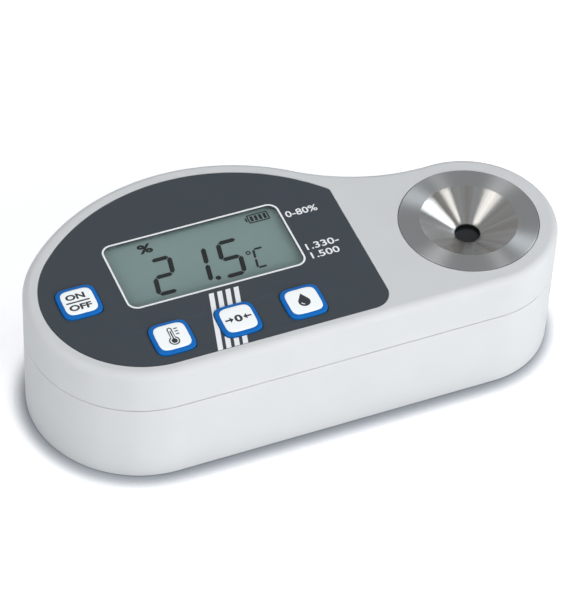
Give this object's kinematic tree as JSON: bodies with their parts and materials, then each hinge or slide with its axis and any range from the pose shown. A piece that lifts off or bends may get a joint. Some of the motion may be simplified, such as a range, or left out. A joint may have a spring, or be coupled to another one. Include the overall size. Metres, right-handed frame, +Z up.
{
  "type": "digital refractometer",
  "caption": "Compact digital refractometer with a display, sealed keys and a steel conical sample well over its prism.",
  "frame": {"origin": "middle of the casing's footprint, on the surface that it stands on", "axes": "+X along the casing towards the sample well, -Y towards the user, +Z up"},
  "size_m": [0.1218, 0.0584, 0.0331],
  "materials": {
    "casing": "moulded, fine satin texture",
    "overlay": "satin printed film",
    "key": "white key top with a blue sloped rim",
    "window": "clear display window",
    "lcd": "grey-green reflective display, dark segments",
    "black_plastic": "matt black",
    "rubber": "soft seal",
    "board": "solder-masked circuit board",
    "steel": "turned stainless steel",
    "screw_steel": "bright plated steel",
    "brass": "spring brass",
    "optical_glass": "polished optical glass",
    "lamp": "tinted lamp body",
    "cell": "plain jacket",
    "ribbon": "amber flat cable"
  },
  "bodies": {
    "casing": {"upper_housing": "casing", "lower_housing": "casing", "housing_seal": "rubber", "keypad_overlay": "overlay", "display_window": "window", "lcd_cell": "lcd", "display_frame": "black_plastic", "zebra_strip_front": "rubber", "zebra_strip_back": "rubber", "main_board": "board", "controller_chip": "black_plastic", "switch_on_off_base": "black_plastic", "switch_temperature_base": "black_plastic", "switch_calibrate_base": "black_plastic", "switch_measure_base": "black_plastic", "sample_well": "steel", "well_seal": "rubber", "prism": "optical_glass", "prism_seal": "rubber", "optics_block": "black_plastic", "light_source": "lamp", "lamp_lens": "optical_glass", "image_lens": "optical_glass", "sensor_chip": "black_plastic", "sensor_board": "board", "temperature_sensor": "brass", "sensor_ribbon": "ribbon", "ribbon_socket": "black_plastic", "battery_contact_plus": "brass", "battery_contact_minus": "brass", "battery_spring": "screw_steel", "case_screw_1": "screw_steel", "case_screw_2": "screw_steel", "case_screw_3": "screw_steel", "case_screw_4": "screw_steel", "case_screw_5": "screw_steel", "case_screw_6": "screw_steel", "board_screw_1": "screw_steel", "board_screw_2": "screw_steel", "board_screw_3": "screw_steel", "board_screw_4": "screw_steel", "optics_screw_1": "screw_steel", "optics_screw_2": "screw_steel", "optics_screw_3": "screw_steel"},
    "on_off_button": {"key_on_off": "key", "switch_on_off_plunger": "brass"},
    "temperature_button": {"key_temperature": "key", "switch_temperature_plunger": "brass"},
    "calibrate_button": {"key_calibrate": "key", "switch_calibrate_plunger": "brass"},
    "measure_button": {"key_measure": "key", "switch_measure_plunger": "brass"},
    "cell": {"battery_cell": "cell"},
    "cover": {"battery_cover": "casing", "battery_cover_seal": "rubber"},
    "cover_screw": {"battery_cover_screw": "screw_steel"}
  },
  "joints": [
    {"name": "on_off_press", "type": "slide", "parent": "casing", "child": "on_off_button", "axis": [0, 0, -1], "range_m": [0, 0.0004], "stiffness_N_per_m": 2500},
    {"name": "temperature_press", "type": "slide", "parent": "casing", "child": "temperature_button", "axis": [0, 0, -1], "range_m": [0, 0.0004], "stiffness_N_per_m": 2500},
    {"name": "calibrate_press", "type": "slide", "parent": "casing", "child": "calibrate_button", "axis": [0, 0, -1], "range_m": [0, 0.0004], "stiffness_N_per_m": 2500},
    {"name": "measure_press", "type": "slide", "parent": "casing", "child": "measure_button", "axis": [0, 0, -1], "range_m": [0, 0.0004], "stiffness_N_per_m": 2500},
    {"name": "cell_removal", "type": "slide", "parent": "casing", "child": "cell", "axis": [0, 0, -1], "range_m": [0, 0.018]},
    {"name": "cover_removal", "type": "slide", "parent": "casing", "child": "cover", "axis": [0, 0, -1], "range_m": [0, 0.036]},
    {"name": "cover_screw_turn", "type": "hinge", "parent": "cover", "child": "cover_screw", "pos_m": [0.01137, -0.00525, 0.0007], "axis": [0, 0, -1], "range_deg": [0, 720]}
  ],
  "couplings": [
    {"joint": "cover_removal", "follows": "cell_removal", "ratio": 2}
  ]
}
